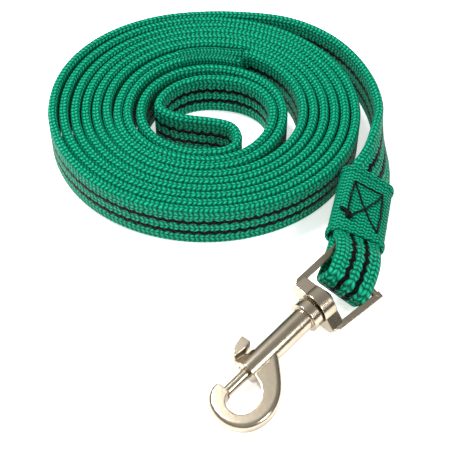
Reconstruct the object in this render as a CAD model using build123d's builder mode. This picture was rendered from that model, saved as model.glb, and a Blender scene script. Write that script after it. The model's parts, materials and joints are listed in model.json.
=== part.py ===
"""Flat webbing lead with a handle sewn back on itself, coiled on its edge, and a swivel bolt snap.

Millimetres, +Z up. The lead lies on Z = 0, and the origin is the middle of its footprint.
"""
from build123d import *
from math import cos, radians, sin, tan
import os

# ---- webbing ----------------------------------------------------------------------------
WEB_W, WEB_T = 20.0, 4.0          # webbing width and thickness
CLEAR = 0.3                       # air between soft pieces that lie against each other
TAPE_T = 1.0                      # tape round the splice and round the snap end
TAPE_FIT = 0.2                    # air between tape and webbing

COIL_AT = (-6.6, 44.7)            # middle of the coiled single turns
COIL_RX, COIL_RY = 66.7, 63.4     # their outer half axes
COIL_TURNS = 6
TURN_AIR, TURN_PRESS = 0.47, 0.07   # turns stand apart at the sides, and press together front and back
COIL_BAND_X = COIL_TURNS * (WEB_T + TURN_AIR)
COIL_BAND_Y = COIL_TURNS * (WEB_T - TURN_PRESS)

HANDLE_AT = (-8.8, 39.4)          # the doubled handle turn inside the coil
HANDLE_RX, HANDLE_RY = 36.4, 31.2
HANDLE_STRANDS = 2
# The handle's end turns back across the middle of the coil.
TONGUE = ((-33.6, 46.6), (-27.4, 39.2), (-14.6, 35.8), (-1.6, 33.4), (4.6, 27.6), (4.8, 20.4))

SPLICE_FROM, SPLICE_ARC = 57.0, 58.0      # degrees round the coil: the handle's end sewn on under tape

# The outer run leaves the coil and bends to the snap end, standing on its edge.
RUN_POINTS = ((20.9, 105.8), (35.4, 100.8), (47.0, 93.0), (56.4, 82.4),
              (63.4, 69.2), (67.7, 55.2), (68.8, 41.6))
# Then it leans over: the strap's middle, and how far its face has turned up from upright.
LEAN_STATIONS = (((68.2, 32.0, 10.3), 16.0), ((66.8, 22.0, 10.2), 29.0), ((64.4, 13.0, 10.4), 43.0))
LEAN_LINE = (-0.12, -1.0, 0.0)

# The doubled strap under the snap end's tape: its middle and the way across it, at both ends.
SLEEVE_TOP, SLEEVE_TOP_W = (60.7, 6.6, 10.3), (0.84, -0.22, -0.50)
SLEEVE_END, SLEEVE_END_W = (53.2, -25.2, 8.5), (0.94, -0.19, -0.29)
FOLD_SLACK = 6.0                  # the strap's loop stands this far past the far bar
FOLD_STUB = 8.0                   # and starts this far before it

# ---- sewing -----------------------------------------------------------------------------
STITCH_L, STITCH_W, STITCH_T, STITCH_PITCH = 2.4, 0.7, 0.4, 3.1
SPLICE_ROWS, TAPE_TRIM = 13.0, 3.0   # between the splice's two rows; degrees that its tapes stop short
BOX_W, BOX_L = 14.0, 17.0         # the sewn square with its cross
TACK_L, TACK_W = 4.6, 3.4         # the dense tack at one corner of it
TACK_AT = (-7.0, 9.0)
SEW_AIR = 0.12                    # thread lies this far off the tape

# ---- snap: X runs from the eye towards the hook, Y towards the hook's arm ---------------
SNAP_AT, SNAP_TURN, SNAP_TILT = (36.4, -56.9, 8.8), -134.0, 5.5
COLLAR_R, COLLAR_AT, COLLAR_L = 6.3, 3.2, 4.0
BARREL_R, BARREL_END = 4.7, 38.6
BORE_R, BORE_END = 3.2, 34.6
ROD_R, ROD_END, ROD_FIT = 2.1, 49.8, 0.15
PISTON_AT, PISTON_FIT = 22.0, 0.15
TIP_SOCKET_END = 50.1             # the rod's end lies in a socket in the hook's tip
TIP_WALL = 0.45                   # metal left beside the socket
HOOK_HALF = ROD_R + ROD_FIT + TIP_WALL
HOOK_ROUND = 1.9
LUG_STEM, LUG_STEM_H, LUG_FIT = (33.2, 38.2), 2.9, 0.1
LUG_WING = (-2.6, 5.0)            # the wing's lower and upper face
SLOT_AIR, SLOT_START = 0.2, 23.6
SLOT_W = LUG_STEM_H + 2 * SLOT_AIR
PLUG_L = 4.0
SPRING_WIRE, SPRING_TURNS, SPRING_FIT, SPRING_AIR = 0.35, 6, 0.05, 0.4
SPRING_R = BORE_R - SPRING_WIRE - SPRING_AIR

# ---- swivel eye -------------------------------------------------------------------------
EYE_TURN, EYE_LEAN = -25.0, -3.0  # about the snap's axis, and rocked on the rivet
EYE_AIR = (0.0, 1.2)              # room beside the strap, at the hub and at the far bar
EYE_NEAR, EYE_FAR = (WEB_W / 2 + air for air in EYE_AIR)   # inner half widths
EYE_ARM, EYE_THICK = 2.5, 2.8
EYE_REACH = 22.0                  # hub to far bar
EYE_CORNER = 3.5
BAR_R = 1.5
HUB_R, HUB_BACK, HUB_FRONT = 7.3, 3.8, 2.2
GUSSET_RISE, GUSSET_IN = 4.6, 5.0 # the webs beside the hub: half height, and where they start
SHANK_R, HEAD_R, HEAD_T = 2.0, 3.8, 2.4
SWIVEL_PLAY = 0.35                # room for the eye to rock on the rivet and on the strap

os.makedirs("parts", exist_ok=True)


def keep(part, name):
    """Label one finished piece and write it."""
    part.label = name
    export_step(part, f"parts/{name}.step")


def strap_plane(at, across, along):
    """A cross-section of the strap: X across it, Z along it, Y out of its striped face."""
    along = Vector(*along).normalized()
    across = Vector(*across)
    return Plane(origin=at, x_dir=across - along * across.dot(along), z_dir=along)


# ---- shared frames ----------------------------------------------------------------------
turn, tilt = radians(SNAP_TURN), radians(SNAP_TILT)
snap_x = Vector(cos(tilt) * cos(turn), cos(tilt) * sin(turn), -sin(tilt))
snap_z = Vector(sin(tilt) * cos(turn), sin(tilt) * sin(turn), cos(tilt))
SNAP = Plane(origin=SNAP_AT, x_dir=snap_x, z_dir=snap_z)
SNAP_CROSS = Plane(origin=SNAP_AT, x_dir=SNAP.y_dir, z_dir=snap_x)
EYE = Plane(SNAP.location * Rotation(EYE_TURN, 0, 0) * Rotation(0, 0, EYE_LEAN))
EYE_CROSS = Plane(origin=SNAP_AT, x_dir=EYE.y_dir, z_dir=EYE.x_dir)
bar_at = EYE.from_local_coords((-EYE_REACH, 0, 0))
FOLD = Plane(origin=bar_at, x_dir=EYE.x_dir, z_dir=EYE.y_dir)     # Z along the far bar
STUB = Plane(origin=EYE.from_local_coords((-EYE_REACH - FOLD_STUB, 0, 0)), x_dir=EYE.y_dir, z_dir=EYE.x_dir)

sleeve_line = Vector(*SLEEVE_END) - Vector(*SLEEVE_TOP)
TOP = strap_plane(SLEEVE_TOP, SLEEVE_TOP_W, sleeve_line)
END = strap_plane(SLEEVE_END, SLEEVE_END_W, sleeve_line)
pair_t = 2 * WEB_T + CLEAR
loop_in = BAR_R + SWIVEL_PLAY
loop_out = loop_in + WEB_T


# ---- coiled webbing ---------------------------------------------------------------------
def standing_ring(middle, rx, ry, band_x, band_y):
    """A solid oval ring as tall as the webbing is wide."""
    with BuildPart() as ring:
        with BuildSketch(Plane.XY):
            with Locations(middle):
                Ellipse(rx, ry)
                Ellipse(rx - band_x, ry - band_y, mode=Mode.SUBTRACT)
        extrude(amount=WEB_W)
    return ring.part


handle_band = HANDLE_STRANDS * WEB_T + CLEAR
keep(standing_ring(COIL_AT, COIL_RX, COIL_RY, COIL_BAND_X, COIL_BAND_Y), "lead_coil")
keep(standing_ring(HANDLE_AT, HANDLE_RX, HANDLE_RY, handle_band, handle_band), "handle_turn")


def bend_radii(points):
    """The largest arc for each corner: 0.45 of the shorter run over the tangent of half the turn."""
    radii = []
    for before, at, after in zip(points, points[1:], points[2:]):
        arrive, leave = Vector(*at) - Vector(*before), Vector(*after) - Vector(*at)
        half_turn = radians(arrive.get_angle(leave)) / 2
        radii.append(0.45 * min(arrive.length, leave.length) / tan(half_turn))
    return radii


def standing_strap(points):
    """The strap on its edge along a route of straight runs and tangent arcs, given from above."""
    radii = bend_radii(points)
    with BuildPart() as strap:
        with BuildSketch(Plane.XY) as strip:
            with BuildLine() as route:
                FilletPolyline(*points, radius=radii)
            trace(line_width=WEB_T)
        extrude(amount=WEB_W)
    print("bend radii", [round(r, 1) for r in radii], "length", round(sum(e.length for e in route.edges()), 1),
          "volume over section", round(strap.part.volume / WEB_T / WEB_W, 1))
    return strap.part


keep(standing_strap(TONGUE), "handle_tongue")
keep(standing_strap(RUN_POINTS), "lead_run")

# ---- handle splice: both strands, and the tapes sewn to their faces ---------------------
def arc_band(outer_r, depth, trim=0.0):
    """A standing band of the splice, cut back by an angle at both ends."""
    start, arc = SPLICE_FROM + trim, SPLICE_ARC - 2 * trim
    with BuildPart() as band:
        with BuildSketch(Plane.XY):
            with BuildLine():
                outer = CenterArc(COIL_AT, outer_r, start, arc)
                inner = CenterArc(COIL_AT, outer_r - depth, start, arc)
                Line(outer @ 0, inner @ 0)
                Line(outer @ 1, inner @ 1)
            make_face()
        extrude(amount=WEB_W)
    return band.part


hole_r = min(COIL_RX - COIL_BAND_X, COIL_RY - COIL_BAND_Y)
tape_face_r = hole_r - CLEAR - STITCH_T - SEW_AIR
strands_r = tape_face_r - TAPE_T - TAPE_FIT
inner_tape_r = strands_r - handle_band - TAPE_FIT
keep(arc_band(strands_r, handle_band), "handle_splice")
keep(arc_band(tape_face_r, TAPE_T, TAPE_TRIM), "splice_tape_outer")
keep(arc_band(inner_tape_r, TAPE_T, TAPE_TRIM), "splice_tape_inner")


def splice_planes(face_r, side):
    """Where two rows of stitches lie on a curved face: side 1 is the outer face, -1 the inner."""
    sewn = SPLICE_ARC - 2 * TAPE_TRIM
    count = int(radians(sewn) * face_r / STITCH_PITCH)
    planes = []
    for i in range(count):
        angle = radians(SPLICE_FROM + TAPE_TRIM + sewn * (i + 0.5) / count)
        out = Vector(cos(angle), sin(angle), 0)
        for row in (-SPLICE_ROWS / 2, SPLICE_ROWS / 2):
            at = Vector(*COIL_AT, WEB_W / 2 + row) + out * (face_r + side * SEW_AIR)
            planes.append(Plane(origin=at, x_dir=(-sin(angle), cos(angle), 0), z_dir=out * side))
    return planes


with BuildPart() as splice_stitching:
    for place in splice_planes(tape_face_r, 1) + splice_planes(inner_tape_r - TAPE_T, -1):
        with BuildSketch(place):
            SlotOverall(STITCH_L, STITCH_W)
        extrude(amount=STITCH_T)
keep(splice_stitching.part, "splice_stitching")

# ---- the strap leans over on its way to the snap end ------------------------------------
last_run = Vector(*RUN_POINTS[-1]) - Vector(*RUN_POINTS[-2])
upright = strap_plane((*RUN_POINTS[-1], WEB_W / 2), (0, 0, -1), last_run)
lean_planes = [strap_plane(at, (sin(radians(lean)), 0, -cos(radians(lean))), LEAN_LINE)
               for at, lean in LEAN_STATIONS]
upper_strand = Plane(origin=TOP.from_local_coords((0, (WEB_T + CLEAR) / 2, 0)), x_dir=TOP.x_dir, z_dir=TOP.z_dir)

with BuildPart() as lead_twist:
    for station in (upright, *lean_planes, upper_strand):
        with BuildSketch(station):
            Rectangle(WEB_W, WEB_T)
    loft(ruled=True)
keep(lead_twist.part, "lead_twist")

# ---- snap end: the strap goes round the eye's far bar and back under itself -------------
with BuildPart() as snap_end_strap:
    for station in (TOP, END, STUB):
        with BuildSketch(station):
            Rectangle(WEB_W, pair_t)
    loft(ruled=True)
keep(snap_end_strap.part, "snap_end_strap")

with BuildPart() as snap_end_fold:
    with BuildSketch(FOLD.offset(-WEB_W / 2)):
        with BuildLine():
            Polyline((FOLD_SLACK, loop_out), (0, loop_out), (-FOLD_STUB, pair_t / 2),
                     (-FOLD_STUB, -pair_t / 2), (0, -loop_out), (FOLD_SLACK, -loop_out))
            ThreePointArc((FOLD_SLACK, -loop_out), (FOLD_SLACK + loop_out, 0), (FOLD_SLACK, loop_out))
        make_face()
    extrude(amount=WEB_W)
    with BuildSketch(FOLD.offset(-WEB_W)):
        with Locations((FOLD_SLACK / 2, 0)):
            SlotOverall(FOLD_SLACK + 2 * loop_in, 2 * loop_in)
    extrude(amount=2 * WEB_W, mode=Mode.SUBTRACT)
keep(snap_end_fold.part, "snap_end_fold")

tape_in = 2 * TAPE_FIT
tape_out = 2 * (TAPE_FIT + TAPE_T)
with BuildPart() as snap_end_sleeve:
    for station in (TOP, END):
        with BuildSketch(station):
            Rectangle(WEB_W + tape_out, pair_t + tape_out)
    loft(ruled=True)
    for station in (TOP, END):
        with BuildSketch(station):
            Rectangle(WEB_W + tape_in, pair_t + tape_in)
    loft(ruled=True, mode=Mode.SUBTRACT)
keep(snap_end_sleeve.part, "snap_end_sleeve")

# ---- stitching on the sleeve: a square with its cross, on both faces --------------------
half_w, half_l = BOX_W / 2, BOX_L / 2
BOX_SEAMS = (((-half_w, -half_l), (half_w, -half_l)), ((half_w, -half_l), (half_w, half_l)),
             ((-half_w, half_l), (-half_w, -half_l)), ((-half_w, -half_l), (half_w, half_l)),
             ((half_w, -half_l), (-half_w, half_l)))
face_lift = pair_t / 2 + TAPE_FIT + TAPE_T + SEW_AIR


def stitch_plane(across, along, thread, side):
    """The plane under one stitch on the sleeve's face: X along its thread, Z out of the face."""
    part_way = 0.5 + along / sleeve_line.length
    at = Vector(*SLEEVE_TOP) + sleeve_line * part_way
    way_across = Vector(*SLEEVE_TOP_W) * (1 - part_way) + Vector(*SLEEVE_END_W) * part_way
    section = strap_plane(at, way_across, sleeve_line)
    seat = section.from_local_coords((across, side * face_lift, 0))
    return Plane(origin=seat, x_dir=section.x_dir * thread.X + section.z_dir * thread.Y,
                 z_dir=section.y_dir * side)


for side, name in ((1, "box_stitching_front"), (-1, "box_stitching_back")):
    with BuildPart() as box_stitching:
        for seam_start, seam_end in BOX_SEAMS:
            seam = Vector(*seam_end) - Vector(*seam_start)
            count = int(seam.length / STITCH_PITCH)
            for i in range(count):
                middle = Vector(*seam_start) + seam * ((i + 0.5) / count)
                with BuildSketch(stitch_plane(middle.X, middle.Y, seam.normalized(), side)):
                    SlotOverall(STITCH_L, STITCH_W)
                extrude(amount=STITCH_T)
    keep(box_stitching.part, name)

with BuildPart() as bar_tack:
    with BuildSketch(stitch_plane(*TACK_AT, Vector(1, 0), 1).offset(STITCH_T + SEW_AIR)):
        SlotOverall(TACK_L, TACK_W)
    extrude(amount=STITCH_T)
keep(bar_tack.part, "bar_tack")

# ---- swivel eye: frame, far bar, hub and its webs ---------------------------------------
eye_back = -EYE_REACH - BAR_R
with BuildPart() as swivel_eye:
    with BuildSketch(EYE.offset(-EYE_THICK / 2)) as frame:
        with BuildLine():
            Polyline((HUB_FRONT, EYE_NEAR + EYE_ARM), (eye_back, EYE_FAR + EYE_ARM),
                     (eye_back, -EYE_FAR - EYE_ARM), (HUB_FRONT, -EYE_NEAR - EYE_ARM), close=True)
        make_face()
        fillet(frame.vertices().sort_by(Axis(EYE.origin, EYE.x_dir))[:2], EYE_CORNER)
        with BuildLine():
            Polyline((-HUB_BACK, EYE_NEAR), (eye_back - EYE_ARM, EYE_FAR), (eye_back - EYE_ARM, -EYE_FAR),
                     (-HUB_BACK, -EYE_NEAR), close=True)
        make_face(mode=Mode.SUBTRACT)
    extrude(amount=EYE_THICK)
    with BuildSketch(FOLD.offset(-EYE_FAR - EYE_ARM / 2)):
        Circle(BAR_R)
    extrude(amount=2 * EYE_FAR + EYE_ARM)
    with BuildSketch(EYE_CROSS.offset(-HUB_BACK)):
        Circle(HUB_R)
        gusset_out = EYE_NEAR + EYE_ARM / 2
        with BuildLine():
            Polyline((gusset_out, EYE_THICK / 2), (GUSSET_IN, GUSSET_RISE), (-GUSSET_IN, GUSSET_RISE),
                     (-gusset_out, EYE_THICK / 2), (-gusset_out, -EYE_THICK / 2), (-GUSSET_IN, -GUSSET_RISE),
                     (GUSSET_IN, -GUSSET_RISE), (gusset_out, -EYE_THICK / 2), close=True)
        make_face()
    extrude(amount=HUB_BACK + HUB_FRONT)
    with BuildSketch(SNAP_CROSS.offset(-HUB_R)):
        Circle(SHANK_R + SWIVEL_PLAY)
    extrude(amount=2 * HUB_R, mode=Mode.SUBTRACT)
keep(swivel_eye.part, "swivel_eye")

# ---- swivel rivet: domed head inside the eye, shank through the hub, plug in the barrel --
head_back = -HUB_BACK - SWIVEL_PLAY
with BuildPart() as swivel_rivet:
    with BuildSketch(SNAP_CROSS.offset(head_back - HEAD_T)):
        Circle(HEAD_R)
    extrude(amount=HEAD_T)
    fillet(swivel_rivet.edges().sort_by(Axis(SNAP.origin, snap_x))[:1], HEAD_T - 0.7)
    with BuildSketch(SNAP_CROSS.offset(head_back)):
        Circle(SHANK_R)
    extrude(amount=COLLAR_AT - head_back)
    with BuildSketch(SNAP_CROSS.offset(COLLAR_AT)):
        Circle(BORE_R)
    extrude(amount=PLUG_L)
keep(swivel_rivet.part, "swivel_rivet")

# ---- snap body: collared barrel with the hook cast on its nose --------------------------
HOOK_OUTER = ((25.5, 3.6), (30.2, 9.4), (37.6, 16.2), (47.4, 19.1), (56.0, 15.8), (59.6, 7.2),
              (56.6, -1.8), (51.4, -4.7))
HOOK_TIP = ((49.3, -3.6), (49.1, 1.6))
HOOK_INNER = ((51.6, 2.1), (54.4, 5.4), (53.6, 10.8), (48.2, 13.3), (42.0, 10.8), (38.7, 5.6))
with BuildPart() as snap_body:
    with BuildSketch(SNAP.offset(-HOOK_HALF)):
        with BuildLine():
            Spline(*HOOK_OUTER)
            Line(HOOK_OUTER[-1], HOOK_TIP[0])
            Line(*HOOK_TIP)
            Line(HOOK_TIP[1], HOOK_INNER[0])
            Spline(*HOOK_INNER)
            Line(HOOK_INNER[-1], (BARREL_END - 1.0, 2.0))
            Line((BARREL_END - 1.0, 2.0), (HOOK_OUTER[0][0], 2.0))
            Line((HOOK_OUTER[0][0], 2.0), HOOK_OUTER[0])
        make_face()
    extrude(amount=2 * HOOK_HALF)
    blade_rim = snap_body.edges().filter_by(GeomType.BSPLINE)
    fillet(blade_rim.sort_by(SortBy.LENGTH)[-2:], HOOK_ROUND)
    with BuildSketch(SNAP_CROSS.offset(COLLAR_AT)):
        Circle(BARREL_R)
    extrude(amount=BARREL_END - COLLAR_AT)
    with BuildSketch(SNAP_CROSS.offset(COLLAR_AT)):
        Circle(COLLAR_R)
    extrude(amount=COLLAR_L)
    with BuildSketch(SNAP_CROSS.offset(COLLAR_AT)):
        Circle(BORE_R)
    extrude(amount=BORE_END - COLLAR_AT, mode=Mode.SUBTRACT)
    with BuildSketch(SNAP_CROSS.offset(BORE_END)):
        Circle(ROD_R + ROD_FIT)
    extrude(amount=TIP_SOCKET_END - BORE_END, mode=Mode.SUBTRACT)
    with BuildSketch(SNAP.offset(-SLOT_W / 2)):
        with Locations(((SLOT_START + BARREL_END + 1) / 2, -BARREL_R)):
            Rectangle(BARREL_END + 1 - SLOT_START, 2 * BARREL_R)
    extrude(amount=SLOT_W, mode=Mode.SUBTRACT)
keep(snap_body.part, "snap_body")

# ---- bolt: piston in the bore, and the rod that closes the hook --------------------------
piston_r = BORE_R - PISTON_FIT
piston_end = BORE_END - PISTON_FIT
stem_back, stem_front = LUG_STEM
with BuildPart() as snap_bolt:
    with BuildSketch(SNAP_CROSS.offset(PISTON_AT)):
        Circle(piston_r)
    extrude(amount=piston_end - PISTON_AT)
    with BuildSketch(SNAP_CROSS.offset(piston_end)):
        Circle(ROD_R)
    extrude(amount=ROD_END - piston_end)
    fillet(snap_bolt.edges().sort_by(Axis(SNAP.origin, snap_x))[-1:], 0.6)
    with BuildSketch(SNAP.offset(-LUG_STEM_H / 2 - LUG_FIT)):
        with Locations(((stem_back + stem_front) / 2, -ROD_R - BORE_R / 2)):
            Rectangle(stem_front - stem_back + 2 * LUG_FIT, BORE_R)
    extrude(amount=LUG_STEM_H + 2 * LUG_FIT, mode=Mode.SUBTRACT)
keep(snap_bolt.part, "snap_bolt")

# ---- thumb lug: its stem passes the slot and seats on the bolt ---------------------------
WING = ((38.3, -6.0), (38.4, -6.9), (35.5, -8.8), (30.2, -9.9), (29.9, -5.8), (33.1, -5.4))
with BuildPart() as thumb_lug:
    with BuildSketch(SNAP.offset(-LUG_STEM_H / 2)):
        with Locations(((stem_back + stem_front) / 2, (-ROD_R - LUG_FIT - 6.0) / 2)):
            Rectangle(stem_front - stem_back, 6.0 - ROD_R - LUG_FIT)
    extrude(amount=LUG_STEM_H)
    with BuildSketch(SNAP.offset(LUG_WING[0])):
        with BuildLine():
            Polyline(*WING, close=True)
        make_face()
    extrude(amount=LUG_WING[1] - LUG_WING[0])
keep(thumb_lug.part, "thumb_lug")

# ---- bolt spring: between the rivet's plug and the piston --------------------------------
spring_start = COLLAR_AT + PLUG_L + SPRING_WIRE + SPRING_FIT
spring_l = PISTON_AT - SPRING_WIRE - SPRING_FIT - spring_start
spring_at = SNAP_CROSS.offset(spring_start).origin
with BuildPart() as bolt_spring:
    with BuildLine() as coil:
        Helix(pitch=spring_l / SPRING_TURNS, height=spring_l, radius=SPRING_R, center=spring_at, direction=snap_x)
    with BuildSketch(Plane(origin=coil.line @ 0, z_dir=coil.line % 0)):
        Circle(SPRING_WIRE)
    sweep()
keep(bolt_spring.part, "bolt_spring")
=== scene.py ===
"""Looks for a webbing lead: coiled strap, sewn handle, taped snap end and a swivel bolt snap.

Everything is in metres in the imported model's frame: +Z up, the lead lies on Z = 0, and +Y runs
from the snap towards the coil.
"""
from __future__ import annotations

import json
import logging
import math
from dataclasses import dataclass, field
from enum import Enum

import bmesh
import bpy
from mathutils import Matrix, Vector

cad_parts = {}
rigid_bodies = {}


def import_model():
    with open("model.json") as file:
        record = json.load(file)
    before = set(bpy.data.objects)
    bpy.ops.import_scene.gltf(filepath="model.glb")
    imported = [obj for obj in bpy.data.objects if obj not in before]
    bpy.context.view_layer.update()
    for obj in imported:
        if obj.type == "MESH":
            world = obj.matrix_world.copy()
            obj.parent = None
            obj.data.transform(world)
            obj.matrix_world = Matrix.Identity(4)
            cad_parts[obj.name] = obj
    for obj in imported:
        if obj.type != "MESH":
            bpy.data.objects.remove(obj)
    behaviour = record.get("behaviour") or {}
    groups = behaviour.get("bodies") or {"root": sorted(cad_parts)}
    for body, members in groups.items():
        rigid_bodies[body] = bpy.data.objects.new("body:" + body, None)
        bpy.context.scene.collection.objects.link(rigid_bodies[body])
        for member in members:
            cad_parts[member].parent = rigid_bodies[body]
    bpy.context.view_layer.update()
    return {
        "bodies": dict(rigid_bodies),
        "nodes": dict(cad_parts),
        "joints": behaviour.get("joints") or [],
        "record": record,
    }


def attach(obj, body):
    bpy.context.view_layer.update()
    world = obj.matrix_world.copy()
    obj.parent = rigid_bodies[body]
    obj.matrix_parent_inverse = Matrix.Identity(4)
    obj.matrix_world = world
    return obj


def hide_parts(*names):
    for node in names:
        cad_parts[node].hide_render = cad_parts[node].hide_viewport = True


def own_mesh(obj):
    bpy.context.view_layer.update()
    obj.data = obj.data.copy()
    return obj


LOG = logging.getLogger("lead")
MM = 0.001


class Side(Enum):
    """The two faces of a flat piece."""

    FRONT = 1
    BACK = -1


class Slot(Enum):
    """The record's material slots, by name."""

    WEBBING = "webbing"
    TAPE = "tape"
    THREAD = "thread"
    SPRING = "spring_steel"


# ---- small helpers --------------------------------------------------------------------------
def linear(hex_colour: str) -> tuple[float, float, float, float]:
    """Turn an sRGB hex colour into the linear colour that a shader socket holds.

    Args:
        hex_colour: A colour such as "#12a47d".

    Returns:
        Red, green, blue and an alpha of 1.
    """
    channels = [int(hex_colour[i:i + 2], 16) / 255 for i in (1, 3, 5)]
    linear_channels = [c / 12.92 if c <= 0.04045 else ((c + 0.055) / 1.055) ** 2.4 for c in channels]
    return (*linear_channels, 1.0)


def add_node(tree: bpy.types.NodeTree, kind: str, links: dict | None = None, **settings) -> bpy.types.Node:
    """Add one shader node, with its settings and the links into it.

    Args:
        tree: The material's node tree.
        kind: The node's type, without "ShaderNode".
        links: Input socket name or number to a value, or to the output socket that feeds it.
        settings: Attributes of the node, such as operation="MULTIPLY".

    Returns:
        The new node.
    """
    node = tree.nodes.new("ShaderNode" + kind)
    for name, value in settings.items():
        setattr(node, name, value)
    for socket, value in (links or {}).items():
        if isinstance(value, bpy.types.NodeSocket):
            tree.links.new(value, node.inputs[socket])
        else:
            node.inputs[socket].default_value = value
    return node


def new_material(name: str) -> tuple[bpy.types.Material, bpy.types.NodeTree, bpy.types.Node]:
    """Make an empty material with a Principled shader on its output.

    Args:
        name: The material's name.

    Returns:
        The material, its node tree and the shader node.
    """
    material = bpy.data.materials.new(name)
    material.use_nodes = True
    tree = material.node_tree
    tree.nodes.clear()
    shader = add_node(tree, "BsdfPrincipled")
    add_node(tree, "OutputMaterial", {"Surface": shader.outputs[0]})
    return material, tree, shader


def math_chain(tree: bpy.types.NodeTree, start: bpy.types.NodeSocket, *steps: tuple) -> bpy.types.NodeSocket:
    """Run one value through a row of Math nodes.

    Args:
        tree: The material's node tree.
        start: The socket that feeds the first node.
        steps: Each an operation and the values or sockets of its further inputs.

    Returns:
        The last node's output.
    """
    value = start
    for operation, *others in steps:
        links = {0: value}
        links.update({i + 1: other for i, other in enumerate(others)})
        value = add_node(tree, "Math", links, operation=operation).outputs[0]
    return value


def piece_from(mesh: bmesh.types.BMesh, name: str, material: bpy.types.Material, body: str,
               smooth: bool = True) -> bpy.types.Object:
    """Turn a bmesh into a finished piece that rides on a body.

    Args:
        mesh: The bmesh, which is freed.
        name: The piece's name.
        material: Its finish.
        body: The body that it rides on.
        smooth: Whether its faces are shaded smooth.

    Returns:
        The new object, at the origin.
    """
    data = bpy.data.meshes.new(name)
    for face in mesh.faces:
        face.smooth = smooth
    mesh.to_mesh(data)
    mesh.free()
    data.materials.append(material)
    piece = bpy.data.objects.new(name, data)
    bpy.context.scene.collection.objects.link(piece)
    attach(piece, body)
    return piece


def line_of(points: list[Vector], steps: int) -> list[Vector]:
    """Read back the smooth line that a NURBS spline draws from its control points.

    Args:
        points: The control points, in the row frame.
        steps: How many samples each span gets.

    Returns:
        The points of the evaluated line.
    """
    curve = bpy.data.curves.new("guide", "CURVE")
    curve.dimensions = "3D"
    spline = curve.splines.new("NURBS")
    spline.points.add(len(points) - 1)
    for knot, point in zip(spline.points, points):
        knot.co = (*point, 1.0)
    spline.order_u = 3
    spline.use_endpoint_u = True
    spline.resolution_u = steps
    guide = bpy.data.objects.new("guide", curve)
    bpy.context.scene.collection.objects.link(guide)
    bpy.context.view_layer.update()
    line = bpy.data.meshes.new_from_object(guide)
    found = [vertex.co.copy() for vertex in line.vertices]
    bpy.data.objects.remove(guide)
    bpy.data.curves.remove(curve)
    bpy.data.meshes.remove(line)
    return found


@dataclass(frozen=True)
class Station:
    """One cross-section of the strap: its middle, the way to its upper edge and the way out of its face."""

    at: Vector
    up: Vector
    out: Vector
    along: float


def stations_of(middle: list[Vector], edge: list[Vector]) -> list[Station]:
    """Build the strap's cross-sections from its middle line and the line of its upper edge.

    Args:
        middle: Points along the strap's middle.
        edge: As many points along its upper edge.

    Returns:
        One station for each point.
    """
    stations, run = [], 0.0
    last = len(middle) - 1
    for i, (at, rim) in enumerate(zip(middle, edge)):
        ahead = (middle[min(i + 1, last)] - middle[max(i - 1, 0)]).normalized()
        if i:
            run += (at - middle[i - 1]).length
        up = rim - at
        up = (up - ahead * up.dot(ahead)).normalized()
        stations.append(Station(at, up, ahead.cross(up), run))
    return stations


def flat_section(width: float, thick: float, rows: int, rim: int) -> list[tuple[float, float]]:
    """The outline of a flat woven strap with full round edges, from its lower edge round the front.

    Args:
        width: Its full width.
        thick: Its thickness.
        rows: Points across each face between the rims.
        rim: Points round each rim.

    Returns:
        Pairs of (up, out).
    """
    flat = width / 2 - thick / 2
    front = [(flat * (2 * (i + 1) / (rows + 1) - 1), thick / 2) for i in range(rows)]
    top = [(flat + thick / 2 * math.sin(math.pi * i / rim), thick / 2 * math.cos(math.pi * i / rim))
           for i in range(rim + 1)]
    half = front + top
    whole = half + [(-up, -out) for up, out in half]
    turn = len(whole) - rim // 2 - 1
    return whole[turn:] + whole[:turn]


def sweep(stations: list[Station], section: list[tuple[float, float]], closed_ends: bool = True) -> bmesh.types.BMesh:
    """Draw a section along the stations, with a UV map in metres: along, and round the section.

    Args:
        stations: Where the section goes.
        section: The outline, as pairs of (up, out).
        closed_ends: Whether both ends get a face.

    Returns:
        The swept bmesh.
    """
    def place(station: Station, up: float, out: float) -> Vector:
        """One outline point at a station."""
        return station.at + station.up * up + station.out * out

    mesh = bmesh.new()
    ring = [mesh.verts.new(place(stations[0], *point)) for point in section]
    edges = [mesh.edges.new((a, b)) for a, b in zip(ring, ring[1:] + ring[:1])]
    start = list(edges)
    for station in stations[1:]:
        made = bmesh.ops.extrude_edge_only(mesh, edges=edges)["geom"]
        edges = [e for e in made if isinstance(e, bmesh.types.BMEdge)]
        fresh = [v for v in made if isinstance(v, bmesh.types.BMVert)]
        for vertex, point in zip(fresh, section):
            vertex.co = place(station, *point)
    mesh.verts.index_update()
    if closed_ends:
        bmesh.ops.edgenet_fill(mesh, edges=start)
        bmesh.ops.edgenet_fill(mesh, edges=edges)
    bmesh.ops.recalc_face_normals(mesh, faces=mesh.faces)
    round_it = [0.0]
    for a, b in zip(section, section[1:] + section[:1]):
        round_it.append(round_it[-1] + math.dist(a, b))
    count = len(section)
    layer = mesh.loops.layers.uv.new("lay")
    for face in mesh.faces:
        places = [loop.vert.index % count for loop in face.loops]
        seam = 0 in places and count - 1 in places
        for loop, place_in in zip(face.loops, places):
            over = round_it[count] if seam and place_in == 0 else round_it[place_in]
            loop[layer].uv = (stations[min(loop.vert.index // count, len(stations) - 1)].along, over)
    return mesh


def tube(points: list[Vector], radius: float, sides: int = 8) -> bmesh.types.BMesh:
    """A round thread along a row of points.

    Args:
        points: The thread's middle line.
        radius: Its radius.
        sides: Faces round it.

    Returns:
        The thread's bmesh, closed at both ends.
    """
    first = points[1] - points[0]
    away = first.orthogonal().normalized()
    edge = [point + away * radius for point in points]
    circle = [(radius * math.cos(math.tau * i / sides), radius * math.sin(math.tau * i / sides)) for i in range(sides)]
    return sweep(stations_of(points, edge), circle)


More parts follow.
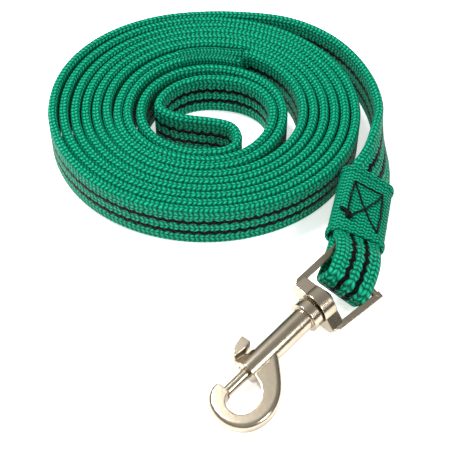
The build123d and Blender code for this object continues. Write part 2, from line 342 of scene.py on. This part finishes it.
def joined(parts: list[bmesh.types.BMesh]) -> bmesh.types.BMesh:
    """Put several bmeshes into one, and free them.

    Args:
        parts: The bmeshes.

    Returns:
        One bmesh with all their faces.
    """
    whole = bmesh.new()
    for part in parts:
        holder = bpy.data.meshes.new("part")
        part.to_mesh(holder)
        part.free()
        whole.from_mesh(holder)
        bpy.data.meshes.remove(holder)
    return whole


# ---- finishes -------------------------------------------------------------------------------
@dataclass(frozen=True)
class WovenWebbing:
    """Woven polypropylene webbing: fat multifilament picks with painted highlight on their crowns and painted shade
    between them, and two black warp bands.
    """

    green: str = "#12a67f"
    shade: str = "#02402c"
    black: str = "#030606"
    pick: float = 2.0 * MM        # length of one bead along the strap
    row: float = 1.8 * MM         # width of one row of beads
    band_at: float = 2.9 * MM     # a black band's distance from the middle
    band_w: float = 2.1 * MM
    band_wave: float = 4.0 * MM   # two picks: the black ends float over one and under the next
    half_round: float = 22.3 * MM   # half the way round the section

    def build(self) -> bpy.types.Material:
        """Make the material on the strap's UV map.

        Returns:
            The material.
        """
        material, tree, shader = new_material("woven_polypropylene_webbing")
        lay = add_node(tree, "UVMap", uv_map="lay").outputs[0]
        # The picks are never beaten up quite evenly, so the whole pattern drifts a little.
        drift = add_node(tree, "TexNoise", {"Vector": lay, "Scale": 1 / (3.2 * MM), "Detail": 1.0}).outputs[1]
        shift = add_node(tree, "VectorMath", {0: drift, 1: (0.5, 0.5, 0.5)}, operation="SUBTRACT").outputs[0]
        small = add_node(tree, "VectorMath", {0: shift, "Scale": 1.1 * MM}, operation="SCALE").outputs[0]
        uv = add_node(tree, "VectorMath", {0: lay, 1: small}, operation="ADD").outputs[0]
        split = add_node(tree, "SeparateXYZ", {0: uv})
        along, over = split.outputs[0], split.outputs[1]
        # Beads slant one way in a row and the other way in the next, as in a herringbone.
        rows = math_chain(tree, over, ("DIVIDE", self.row))
        slant = math_chain(tree, rows, ("PINGPONG", 1.0), ("MULTIPLY", 0.85 * math.pi))
        phase = math_chain(tree, along, ("MULTIPLY", math.tau / self.pick), ("ADD", slant))
        bead = math_chain(tree, phase, ("SINE",), ("MULTIPLY_ADD", 0.5, 0.5), ("POWER", 0.7))
        crown = math_chain(tree, rows, ("MULTIPLY", math.pi), ("SINE",), ("ABSOLUTE",), ("POWER", 0.6))
        height = math_chain(tree, bead, ("MULTIPLY", crown))
        # The black bands run at one distance from the middle of each face, and wander with the picks.
        across = math_chain(tree, over, ("MODULO", self.half_round), ("SUBTRACT", self.half_round / 2), ("ABSOLUTE",))
        wander = math_chain(tree, along, ("MULTIPLY", math.tau / self.band_wave), ("SINE",), ("MULTIPLY", 0.42 * MM))
        off = math_chain(tree, across, ("SUBTRACT", self.band_at), ("ADD", wander), ("ABSOLUTE",))
        band = math_chain(tree, off, ("SUBTRACT", self.band_w / 2), ("MULTIPLY", -1 / (0.25 * MM)), ("ADD", 0.5))
        band = add_node(tree, "Clamp", {0: band}).outputs[0]
        fibre = add_node(tree, "TexNoise", {"Vector": uv, "Scale": 1 / (0.55 * MM), "Detail": 4.0}).outputs[0]
        # The colour is partly painted light: it runs from the dark shade colour in the gaps between beads and rows
        # (painted shade) to the light green on the bead crowns (painted highlight). The fibre noise in it is the yarn's
        # own uneven tone.
        light = math_chain(tree, fibre, ("SUBTRACT", 0.5), ("MULTIPLY", 1.0), ("ADD", height))
        light = add_node(tree, "Clamp", {0: light}).outputs[0]
        green = add_node(tree, "Mix", {"Factor": light, "A": linear(self.shade), "B": linear(self.green)},
                         data_type="RGBA")
        colour = add_node(tree, "Mix", {"Factor": band, "A": green.outputs[2], "B": linear(self.black)},
                          data_type="RGBA")
        fuzz = math_chain(tree, fibre, ("MULTIPLY", 0.45), ("ADD", height))
        bump = add_node(tree, "Bump", {"Strength": 1.0, "Distance": 0.55 * MM, "Height": fuzz})
        tree.links.new(colour.outputs[2], shader.inputs["Base Color"])
        tree.links.new(bump.outputs[0], shader.inputs["Normal"])
        shader.inputs["Roughness"].default_value = 0.5
        shader.inputs["Specular IOR Level"].default_value = 0.04
        return material


@dataclass(frozen=True)
class RibbedTape:
    """Thin woven tape: fine ribs across it that waver, flatter and a little duller than the webbing."""

    green: str = "#109a75"
    shade: str = "#023b29"
    rib: float = 1.6 * MM

    def build(self) -> bpy.types.Material:
        """Make the material on the tape's UV map.

        Returns:
            The material.
        """
        material, tree, shader = new_material("ribbed_woven_tape")
        uv = add_node(tree, "UVMap", uv_map="lay").outputs[0]
        split = add_node(tree, "SeparateXYZ", {0: uv})
        along, over = split.outputs[0], split.outputs[1]
        waver = math_chain(tree, over, ("MULTIPLY", math.tau / (3.4 * MM)), ("SINE",), ("MULTIPLY", 1.25))
        phase = math_chain(tree, along, ("MULTIPLY", math.tau / self.rib), ("ADD", waver))
        rib = math_chain(tree, phase, ("SINE",), ("MULTIPLY_ADD", 0.5, 0.5))
        thread = math_chain(tree, over, ("MULTIPLY", math.pi / (1.3 * MM)), ("SINE",), ("ABSOLUTE",), ("POWER", 0.5))
        height = math_chain(tree, rib, ("MULTIPLY", thread))
        fibre = add_node(tree, "TexNoise", {"Vector": uv, "Scale": 1 / (0.8 * MM), "Detail": 3.0}).outputs[0]
        # The colour is partly painted light: it runs from the dark shade colour between the ribs and threads (painted
        # shade) to the light green on the rib tops (painted highlight). The fibre noise in it is the tape's own uneven
        # tone.
        light = math_chain(tree, fibre, ("SUBTRACT", 0.5), ("MULTIPLY", 0.5), ("ADD", height))
        light = add_node(tree, "Clamp", {0: light}).outputs[0]
        colour = add_node(tree, "Mix", {"Factor": light, "A": linear(self.shade), "B": linear(self.green)},
                          data_type="RGBA")
        bump = add_node(tree, "Bump", {"Strength": 0.8, "Distance": 0.35 * MM, "Height": height})
        tree.links.new(colour.outputs[2], shader.inputs["Base Color"])
        tree.links.new(bump.outputs[0], shader.inputs["Normal"])
        shader.inputs["Roughness"].default_value = 0.6
        shader.inputs["Specular IOR Level"].default_value = 0.04
        return material


@dataclass(frozen=True)
class BondedThread:
    """Bonded sewing thread: two plies twisted together, with a faint waxed shine."""

    name: str = "bonded_black_thread"
    colour: str = "#0a0d0c"
    twist: float = 1.1 * MM

    def build(self) -> bpy.types.Material:
        """Make the material on the thread's UV map.

        Returns:
            The material.
        """
        material, tree, shader = new_material(self.name)
        uv = add_node(tree, "UVMap", uv_map="lay").outputs[0]
        split = add_node(tree, "SeparateXYZ", {0: uv})
        phase = math_chain(tree, split.outputs[1], ("MULTIPLY", math.tau / (1.2 * MM)))
        ply = math_chain(tree, split.outputs[0], ("MULTIPLY", math.tau / self.twist), ("ADD", phase), ("SINE",))
        bump = add_node(tree, "Bump", {"Strength": 0.7, "Distance": 0.15 * MM, "Height": ply})
        tree.links.new(bump.outputs[0], shader.inputs["Normal"])
        shader.inputs["Base Color"].default_value = linear(self.colour)
        shader.inputs["Roughness"].default_value = 0.45
        shader.inputs["Specular IOR Level"].default_value = 0.08
        return material


@dataclass(frozen=True)
class NickelPlate:
    """Bright nickel on a zinc casting: a warm mirror, a little soft where the casting was tumbled."""

    colour: str = "#c4baa9"
    stain: str = "#94866f"
    edge: float = 0.7 * MM        # how far the tumbling has rounded the casting's edges
    grain: float = 1.6 * MM

    def build(self) -> bpy.types.Material:
        """Make the material on Object coordinates.

        Returns:
            The material.
        """
        material, tree, shader = new_material("nickel_plated_zinc")
        place = add_node(tree, "TexCoord").outputs["Object"]
        cloud = add_node(tree, "TexNoise", {"Vector": place, "Scale": 1 / (9 * MM), "Detail": 2.0}).outputs[0]
        tint = add_node(tree, "Mix", {"Factor": cloud, "A": linear(self.colour), "B": linear(self.stain)},
                        data_type="RGBA")
        tumbled = add_node(tree, "TexNoise", {"Vector": place, "Scale": 1 / self.grain, "Detail": 3.0}).outputs[0]
        rough = add_node(tree, "MapRange", {0: cloud, 3: 0.16, 4: 0.26}).outputs[0]
        rounded = add_node(tree, "Bevel", {"Radius": self.edge}, samples=6).outputs[0]
        bump = add_node(tree, "Bump", {"Strength": 0.16, "Distance": 0.12 * MM, "Height": tumbled, "Normal": rounded})
        tree.links.new(tint.outputs[2], shader.inputs["Base Color"])
        tree.links.new(rough, shader.inputs["Roughness"])
        tree.links.new(bump.outputs[0], shader.inputs["Normal"])
        shader.inputs["Metallic"].default_value = 1.0
        return material


@dataclass(frozen=True)
class SpringWire:
    """Hard-drawn steel wire: grey, with fine drawing lines."""

    colour: str = "#8d8f90"

    def build(self) -> bpy.types.Material:
        """Make the material on Object coordinates.

        Returns:
            The material.
        """
        material, tree, shader = new_material("drawn_steel_wire")
        place = add_node(tree, "TexCoord").outputs["Object"]
        lines = add_node(tree, "TexNoise", {"Vector": place, "Scale": 1 / (0.3 * MM)}).outputs[0]
        bump = add_node(tree, "Bump", {"Strength": 0.2, "Distance": 0.05 * MM, "Height": lines})
        tree.links.new(bump.outputs[0], shader.inputs["Normal"])
        shader.inputs["Base Color"].default_value = linear(self.colour)
        shader.inputs["Metallic"].default_value = 1.0
        shader.inputs["Roughness"].default_value = 0.35
        return material


# ---- the snap's frames, as the casting stands on the surface ------------------------------------
@dataclass(frozen=True)
class SnapFrames:
    """Where the snap and its swivel eye lie: X towards the hook, Z out of their flat sides."""

    at: Vector = Vector((36.4, -56.9, 8.8)) * MM
    turn: float = -134.0
    tilt: float = 5.5
    eye_turn: float = -25.0
    eye_lean: float = -3.0

    def snap(self) -> Matrix:
        """The snap body's frame."""
        turned = Matrix.Rotation(math.radians(self.turn), 4, "Z") @ Matrix.Rotation(math.radians(self.tilt), 4, "Y")
        return Matrix.Translation(self.at) @ turned

    def eye(self) -> Matrix:
        """The swivel eye's frame."""
        lean = Matrix.Rotation(math.radians(self.eye_lean), 4, "Z")
        return self.snap() @ Matrix.Rotation(math.radians(self.eye_turn), 4, "X") @ lean


# ---- the lead ---------------------------------------------------------------------------------
@dataclass
class Lead:
    """The whole strap: sewn round the snap's eye, six turns of coil, and the handle loop in its middle."""

    frames: SnapFrames
    width: float = 19.8 * MM
    thick: float = 3.9 * MM
    # This size takes the strap as a round cord. This flat strap is 20 by 4 mm, and 12.6 mm is neither: the width is
    # refused, because the coil's turns stand 4 mm apart, and this is a number that is accepted.
    declared: float = 12.6 * MM
    pair: float = 2.15 * MM           # half the distance between two strands sewn together
    sleeve_top: Vector = Vector((60.7, 6.6, 10.3)) * MM
    sleeve_top_across: Vector = Vector((0.84, -0.22, -0.50))
    sleeve_end: Vector = Vector((53.2, -25.2, 8.5)) * MM
    sleeve_end_across: Vector = Vector((0.94, -0.19, -0.29))
    bar_seat: Vector = Vector((50.1, -41.4, 10.9)) * MM      # the loop's middle at the far bar
    fold_end: Vector = Vector((46.1, -50.9, 9.9)) * MM
    fold_across: Vector = Vector((0.85, -0.165, -0.51))
    middle: tuple[float, float] = (-5.5, 43.7)    # of the coil, in mm as all below
    outer: tuple[float, float] = (68.15, 63.58)   # the first turn's half axes
    pitch: tuple[float, float] = (4.5, 3.95)      # between turns, at the sides and at front and back
    per_turn: int = 16
    points: list[Vector] = field(default_factory=list)
    edges: list[Vector] = field(default_factory=list)

    def add(self, x: float, y: float, z: float = 10.0, up: Vector = Vector((0, 0, 1))) -> None:
        """Add a control point in millimetres, with the way to the strap's upper edge."""
        self.put(Vector((x, y, z)) * MM, up)

    def put(self, at: Vector, up: Vector) -> None:
        """Add a control point in metres, with the way to the strap's upper edge."""
        self.points.append(at)
        self.edges.append(at + up.normalized() * 10 * MM)

    def section_at(self, part: float) -> tuple[Vector, Vector, Vector]:
        """The doubled strap under the tape.

        Args:
            part: 0 at the tape's top end and 1 at its end by the snap.

        Returns:
            The middle, the way across and the way out of the upper face.
        """
        line = (self.sleeve_end - self.sleeve_top).normalized()
        across = self.sleeve_top_across.lerp(self.sleeve_end_across, part)
        across = (across - line * across.dot(line)).normalized()
        return self.sleeve_top.lerp(self.sleeve_end, part), across, line.cross(across)

    def fold_at(self, along: float) -> tuple[Vector, Vector, Vector]:
        """The middle of the strap's loop, where it hangs on the far bar a little askew.

        Args:
            along: Metres past the far bar, less than 0 on the tape's side.

        Returns:
            The middle, the way across and the way out of the upper face.
        """
        end = self.sleeve_end if along < 0 else self.fold_end
        line = (end - self.bar_seat).normalized() * (-1 if along < 0 else 1)
        at = self.bar_seat + line * along
        part = min(1.0, (along + 17 * MM) / (15 * MM))
        across = self.sleeve_end_across.lerp(self.fold_across, part)
        across = (across - line * across.dot(line)).normalized()
        return at, across, line.cross(across)

    def snap_end(self) -> None:
        """From the cut end under the tape, round the far bar, and back to the tape's top end."""
        for part in (0.04, 0.35, 0.7, 1.0):
            at, across, out = self.section_at(part)
            self.put(at - out * self.pair, -across)
        under = ((-11.5, 3.0), (-7.0, 4.4), (-1.0, 4.6), (5.0, 4.6), (9.2, 3.8))
        over = ((9.2, 3.7), (5.0, 4.5), (-1.0, 5.0), (-7.6, 5.3), (-11.8, 3.4))
        for side, layer in ((-1, under), (1, over)):
            for along, gap in layer:
                at, across, out = self.fold_at(along * MM)
                self.put(at + out * side * gap * MM, -across)
        for part in (1.0, 0.7, 0.35, 0.0):
            at, across, out = self.section_at(part)
            self.put(at + out * self.pair, -across)

    def run(self) -> None:
        """From the tape, leaning up on its edge and round to the back of the coil."""
        for x, y, z, lean in ((64.4, 13.0, 10.4, 43), (66.8, 22.0, 10.2, 29), (68.2, 32.0, 10.3, 16)):
            angle = math.radians(lean)
            self.add(x, y, z, Vector((-math.sin(angle), 0, math.cos(angle))))
        for x, y in ((68.8, 43.0), (67.7, 56.2), (63.4, 70.2), (56.4, 83.4), (46.8, 94.0), (35.2, 101.6),
                     (21.5, 106.0)):
            self.add(x, y)

    def turns(self) -> None:
        """Six turns of the coil, each inside the last."""
        reach = 1 / math.cos(math.pi / self.per_turn)
        start, stop = 0.25, 6.17
        count = round((stop - start) * self.per_turn)
        for i in range(count + 1):
            n = start + (stop - start) * i / count
            angle = math.tau * n
            bulge = 2.7 * math.exp(-(((n % 1) - 0.39) / 0.08) ** 2 / 2) * max(0.0, 1 - 0.45 * int(n))
            rx = self.outer[0] - self.pitch[0] * n + bulge
            ry = self.outer[1] - self.pitch[1] * n + bulge
            self.add(self.middle[0] + reach * rx * math.cos(angle), self.middle[1] + reach * ry * math.sin(angle))

    def quarters(self, hub: tuple[float, float], radii: list[float], start: int, trim: tuple[float, float]) -> None:
        """Quarter turns whose radius goes from one value to the next.

        Args:
            hub: The middle, in mm.
            radii: The distance from the hub at each quarter, in mm.
            start: The first quarter: 1 back, 2 left, 3 front, 4 right. Falling counts turn the other way.
            trim: The part of the first and of the last quarter that is left out.
        """
        way = 1 if start > 0 else -1
        count = len(radii) - 1
        steps = 5 * count
        reach = 1 / math.cos(math.pi / 20)
        for i in range(steps + 1):
            t = trim[0] + (count - trim[0] - trim[1]) * i / steps
            k = min(int(t), count - 1)
            part = t - k
            quarter = abs(start) + way * t
            angle = quarter * math.pi / 2
            blend = math.sin(part * math.pi / 2) ** 2
            radius = (radii[k] * (1 - blend) + radii[k + 1] * blend) * reach
            self.add(hub[0] + radius * math.cos(angle), hub[1] + radius * math.sin(angle))

    def handle(self) -> None:
        """The handle loop: through the splice, round the middle, back on itself and into the splice again."""
        hub = (-5.5, 41.0)
        self.quarters(hub, [39.6, 38.6, 33.9, 32.4, 27.8, 28.8, 25.9], 1, (-0.2, 0.12))
        for x, y in ((1.5, 16.4), (6.6, 19.5), (7.6, 26.2), (4.6, 32.2), (-2.6, 34.4), (-11.5, 35.6), (-20.0, 37.4)):
            self.add(x, y)
        self.quarters(hub, [21.8, 20.8, 28.2, 29.9, 34.5, 35.4], -6, (0.05, -0.28))

    def stations(self) -> list[Station]:
        """All cross-sections of the strap along its smooth line.

        Returns:
            The stations, from the cut end under the tape to the cut end in the splice.
        """
        self.snap_end()
        self.run()
        self.turns()
        self.handle()
        return stations_of(line_of(self.points, 10), line_of(self.edges, 10))

    def build(self, webbing: bpy.types.Material) -> list[Station]:
        """Args:
            webbing: Its finish.

        Returns:
            Its stations, which the tape and the splice follow.
        """
        stations = self.stations()
        section = flat_section(self.width, self.thick, 5, 6)
        strap = piece_from(sweep(stations, section), "lead_strap", webbing, "webbing")
        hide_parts("lead_coil", "handle_turn", "handle_tongue", "handle_splice", "lead_run", "lead_twist",
                    "snap_end_strap", "snap_end_fold")
        return stations


@dataclass
class SnapEndTape:
    """The tape round the doubled strap at the snap end, sewn through with a crossed square of black thread."""

    lead: Lead
    wall: float = 0.9 * MM
    fit: float = 0.25 * MM
    thread: float = 0.38 * MM
    ease: float = 0.9 * MM            # the tape's round edges stand this far past the strap's squarer ones
    hem: float = 0.45 * MM            # how much prouder the tape stands where its ends are rolled under

    def stations(self) -> list[Station]:
        """Cross-sections of the tape from its top end to the snap."""
        found = []
        length = (self.lead.sleeve_end - self.lead.sleeve_top).length
        for i in range(29):
            part = i / 28
            at, across, out = self.lead.section_at(part)
            found.append(Station(at, -across, out, part * length))
        return found

    def on_face(self, across: float, along: float, lift: float, side: Side) -> Vector:
        """A point on the tape's face.

        Args:
            across: Millimetres from the middle towards the outer edge.
            along: Millimetres from the middle towards the snap.
            lift: Metres off the face.
            side: Which face.

        Returns:
            The point in the row frame.
        """
        length = (self.lead.sleeve_end - self.lead.sleeve_top).length
        at, way, out = self.lead.section_at(0.5 + along * MM / length)
        face = self.lead.pair + self.lead.thick / 2 + self.fit + self.wall
        return at + way * across * MM + out * side.value * (face + lift)

    def build_tape(self, tape: bpy.types.Material) -> None:
        """The tape itself, with a rolled hem at both ends."""
        half_w = self.lead.width / 2 + self.fit + self.ease
        half_t = self.lead.pair + self.lead.thick / 2 + self.fit
        outline = flat_section(2 * half_w, 2 * half_t, 9, 10)
        outer = [(up * (1 + self.wall / half_w), out * (1 + self.wall / half_t)) for up, out in outline]
        mesh = sweep(self.stations(), outer, closed_ends=False)
        piece = piece_from(mesh, "snap_end_tape", tape, "webbing")
        wall = piece.modifiers.new("wall", "SOLIDIFY")
        wall.thickness = self.wall
        wall.offset = -1.0
        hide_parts("snap_end_sleeve")
        stations = self.stations()
        for name, ends in (("top", stations[:3]), ("low", stations[-3:])):
            hem = [(up * (1 + self.hem / half_w), out * (1 + self.hem / half_t)) for up, out in outer]
            piece = piece_from(sweep(ends, hem, closed_ends=False), "snap_end_tape_hem_" + name, tape, "webbing")
            roll = piece.modifiers.new("roll", "SOLIDIFY")
            roll.thickness = 2 * self.hem
            roll.offset = -1.0
            soft = piece.modifiers.new("soft", "BEVEL")
            soft.width, soft.segments = 0.9 * self.hem, 3

    def build_thread(self, black: bpy.types.Material) -> None:
        """The crossed square on both faces, and the tack with its tail on the front."""
        corners = {"a": (-7.4, -8.8), "b": (5.8, -8.8), "c": (6.6, 12.0), "d": (-6.6, 9.2)}
        seams = [("a", "b", 0.5), ("b", "c", -0.3), ("a", "d", 0.7), ("a", "c", 0.8), ("b", "d", -1.4)]
        for side, name in ((Side.FRONT, "box_stitching_front"), (Side.BACK, "box_stitching_back")):
            parts = []
            for start, end, bow in seams:
                (x0, y0), (x1, y1) = corners[start], corners[end]
                length = math.hypot(x1 - x0, y1 - y0)
                line = []
                for i in range(13):
                    part = i / 12
                    sag = bow * math.sin(part * math.pi) + 0.12 * math.sin(part * 19)
                    x = x0 + (x1 - x0) * part - (y1 - y0) / length * sag
                    y = y0 + (y1 - y0) * part + (x1 - x0) / length * sag
                    line.append(self.on_face(x, y, (0.1 + 0.35 * math.sin(part * math.pi)) * MM, side))
                parts.append(tube(line, self.thread))
            piece = piece_from(joined(parts), name + "_thread", black, "webbing")
            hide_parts(name)
        knot = [self.on_face(x, y, lift * MM, Side.FRONT) for x, y, lift in (
            (-8.6, 6.9, 0.2), (-6.6, 7.4, 0.7), (-5.0, 9.2, 0.9), (-6.6, 10.2, 0.6), (-7.8, 8.6, 0.9), (-6.2, 7.9, 1.2),
            (-5.2, 9.8, 1.1), (-7.0, 9.6, 1.3), (-7.2, 8.0, 1.0), (-9.6, 6.6, 0.5), (-10.6, 6.9, 0.4))]
        piece = piece_from(tube(line_of(knot, 6), 0.75 * MM), "thread_knot", black, "webbing")
        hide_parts("bar_tack")

    def build(self, tape: bpy.types.Material, black: bpy.types.Material) -> None:
        """Make the tape and its sewing."""
        self.build_tape(tape)
        self.build_thread(black)
        LOG.info("snap end tape and its thread")


@dataclass
class HandleSplice:
    """Where the handle's end is sewn back to the lead: tape over both strands, and dotted rows of stitches."""

    stations: list[Station]
    coil: tuple[float, float] = (-6.6, 44.7)
    start: float = 62.0
    arc: float = 50.0
    wall: float = 0.35 * MM

    def covered(self, near: float) -> list[Station]:
        """The strap's stations under the tape.

        Args:
            near: The strand's distance from the coil's middle, in mm.

        Returns:
            Stations of that strand within the sewn arc, in the strap's order.
        """
        found = []
        for station in self.stations:
            x, y = station.at.x / MM - self.coil[0], station.at.y / MM - self.coil[1]
            angle = math.degrees(math.atan2(y, x))
            if self.start <= angle <= self.start + self.arc and abs(math.hypot(x, y) - near) < 2.0:
                found.append(station)
        return found

    def fringe(self, strand: list[Station], tape: bpy.types.Material) -> None:
        """The loose ends of the tape's own threads, where it was cut across.

        Args:
            strand: The stations under the tape.
            tape: The tape's finish.
        """
        end = min((strand[0], strand[-1]), key=lambda s: math.atan2(s.at.y - self.coil[1] * MM, s.at.x))
        away = (end.at - strand[len(strand) // 2].at).normalized()
        tufts = []
        for i in range(22):
            stray = math.sin(i * 2.4)
            root = end.at + end.up * (10.3 - 0.75 * i) * MM + end.out * (2.2 - 4.4 * (i % 2) * (i > 2)) * MM
            reach = away * (2.4 + 0.9 * stray) * MM
            droop = end.up * 0.7 * math.cos(i * 1.7) * MM
            tufts.append(tube([root - away * MM, root + reach * 0.4, root + reach + droop], 0.22 * MM, 5))
        piece_from(joined(tufts), "splice_tape_fringe", tape, "webbing")

    def build(self, tape: bpy.types.Material, green: bpy.types.Material) -> None:
        """Make the tapes and their stitches."""
        names = (("splice_tape_outer", 36.0), ("splice_tape_inner", 31.7))
        dots = []
        for name, near in names:
            strand = self.covered(near)
            LOG.info("%s follows %d stations", name, len(strand))
            section = flat_section(19.8 * MM + 2 * self.wall, 3.9 * MM + 2 * self.wall, 3, 8)
            piece = piece_from(sweep(strand, section), name + "_cover", tape, "webbing")
            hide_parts(name)
            for station in strand[::1]:
                at = station.at + station.up * 10.35 * MM
                side = station.out * 0.5 * MM
                dots.append(tube([at - side, at + side * 0.2, at + side], 0.28 * MM, 6))
        self.fringe(self.covered(names[0][1]), tape)
        piece = piece_from(joined(dots), "splice_stitches", green, "webbing")
        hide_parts("splice_stitching")
        LOG.info("handle splice")


@dataclass
class SwivelSnap:
    """The nickel snap: its castings keep their shape, and its spring is one fixed coil of wire."""

    frames: SnapFrames
    metal_nodes: tuple[str, ...] = ("swivel_eye", "swivel_rivet", "snap_body", "snap_bolt", "thumb_lug")
    spring_turns: int = 6
    spring_from: float = 7.6 * MM
    spring_length: float = 14.0 * MM
    spring_r: float = 2.45 * MM
    spring_wire: float = 0.35 * MM
    travel: float = 8.0 * MM          # of the bolt

    def build(self, frame: dict, nickel: bpy.types.Material, wire: bpy.types.Material) -> None:
        """Dress the castings and the spring."""
        for name in self.metal_nodes:
            node = frame["nodes"][name]
            node.data.materials.clear()
            node.data.materials.append(nickel)
            LOG.info("dressed %s", name)
        self.spring(wire)

    def spring(self, wire: bpy.types.Material) -> None:
        """The spring behind the bolt, as one fixed coil of wire."""
        place = self.frames.snap()
        steps = 20 * self.spring_turns
        coil = []
        for i in range(steps + 1):
            angle = math.tau * self.spring_turns * i / steps
            along = self.spring_from + self.spring_length * i / steps
            coil.append(place @ Vector((along, self.spring_r * math.cos(angle), self.spring_r * math.sin(angle))))
        piece = piece_from(tube(coil, self.spring_wire), "bolt_spring_wire", wire, "snap")
        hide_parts("bolt_spring")
        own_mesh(piece)


@dataclass
class Studio:
    """A pale floor, broad soft lights and the camera."""

    camera_at: Vector = Vector((1.9, -313.0, 344.5)) * MM
    elevation: float = 48.5
    lens: float = 89.2

    def build(self) -> None:
        """Set up the floor, the lights, the world and the camera."""
        scene = bpy.context.scene
        scene.view_settings.view_transform = "Standard"
        world = bpy.data.worlds.new("studio")
        scene.world = world
        world.use_nodes = True
        self.sky(world.node_tree)
        camera = bpy.data.objects.new("camera", bpy.data.cameras.new("camera"))
        camera.data.lens = self.lens
        camera.data.sensor_width = 36.0
        camera.data.clip_start, camera.data.clip_end = 0.01, 10.0
        camera.location = self.camera_at
        camera.rotation_euler = (math.radians(90 - self.elevation), 0, 0)
        scene.collection.objects.link(camera)
        scene.camera = camera
        self.floor()
        for name, at, size, power in (("key", (-0.35, 0.2, 0.7), 0.3, 10.5), ("fill", (0.55, -0.45, 0.5), 0.25, 4.5)):
            light = bpy.data.lights.new(name, "AREA")
            light.energy, light.size = power, size
            lamp = bpy.data.objects.new(name, light)
            lamp.location = at
            lamp.rotation_euler = (Vector((0, 0, 0)) - Vector(at)).to_track_quat("-Z", "Y").to_euler()
            scene.collection.objects.link(lamp)

    def sky(self, tree: bpy.types.NodeTree) -> None:
        """A bright dome that darkens towards the horizon and at one side, which gives metal its dark bands.

        Args:
            tree: The world's node tree.
        """
        way = add_node(tree, "TexCoord").outputs["Generated"]
        split = add_node(tree, "SeparateXYZ", {0: way})
        dome = add_node(tree, "MapRange", {0: split.outputs[2], 1: 0.1, 2: 0.6, 3: 0.04, 4: 0.7},
                        interpolation_type="SMOOTHSTEP").outputs[0]
        side = add_node(tree, "MapRange", {0: split.outputs[0], 1: -0.5, 2: 0.6, 3: 1.0, 4: 0.55}).outputs[0]
        glow = math_chain(tree, dome, ("MULTIPLY", side))
        # What stands behind the floor is a plain white backdrop; only the light and the reflections are banded.
        seen = add_node(tree, "LightPath").outputs["Is Camera Ray"]
        shown = add_node(tree, "Mix", {"Factor": seen, "A": glow, "B": 1.0}).outputs[0]
        tree.links.new(shown, tree.nodes["Background"].inputs[1])
        tree.nodes["Background"].inputs[0].default_value = (1, 1, 1, 1)

    def floor(self) -> None:
        """A wide pale floor just under the lead."""
        mesh = bmesh.new()
        bmesh.ops.create_grid(mesh, x_segments=1, y_segments=1, size=3.0)
        data = bpy.data.meshes.new("floor")
        mesh.to_mesh(data)
        mesh.free()
        material, _, shader = new_material("pale_floor")
        shader.inputs["Base Color"].default_value = linear("#ffffff")
        shader.inputs["Roughness"].default_value = 0.9
        shader.inputs["Specular IOR Level"].default_value = 0.0
        shader.inputs["Emission Color"].default_value = linear("#ffffff")
        shader.inputs["Emission Strength"].default_value = 0.6
        data.materials.append(material)
        floor = bpy.data.objects.new("floor", data)
        floor.location.z = -0.0002
        bpy.context.scene.collection.objects.link(floor)


def main() -> None:
    """Build every piece in order."""
    logging.basicConfig(level=logging.INFO, format="%(name)s: %(message)s")
    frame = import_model()
    webbing, tape, black = WovenWebbing().build(), RibbedTape().build(), BondedThread().build()
    green = BondedThread("bonded_green_thread", "#06674c").build()
    Studio().build()
    lead = Lead(SnapFrames())
    stations = lead.build(webbing)
    SnapEndTape(lead).build(tape, black)
    HandleSplice(stations).build(tape, green)
    SwivelSnap(lead.frames).build(frame, NickelPlate().build(), SpringWire().build())
    bpy.context.view_layer.update()


if __name__ == "__main__":
    main()
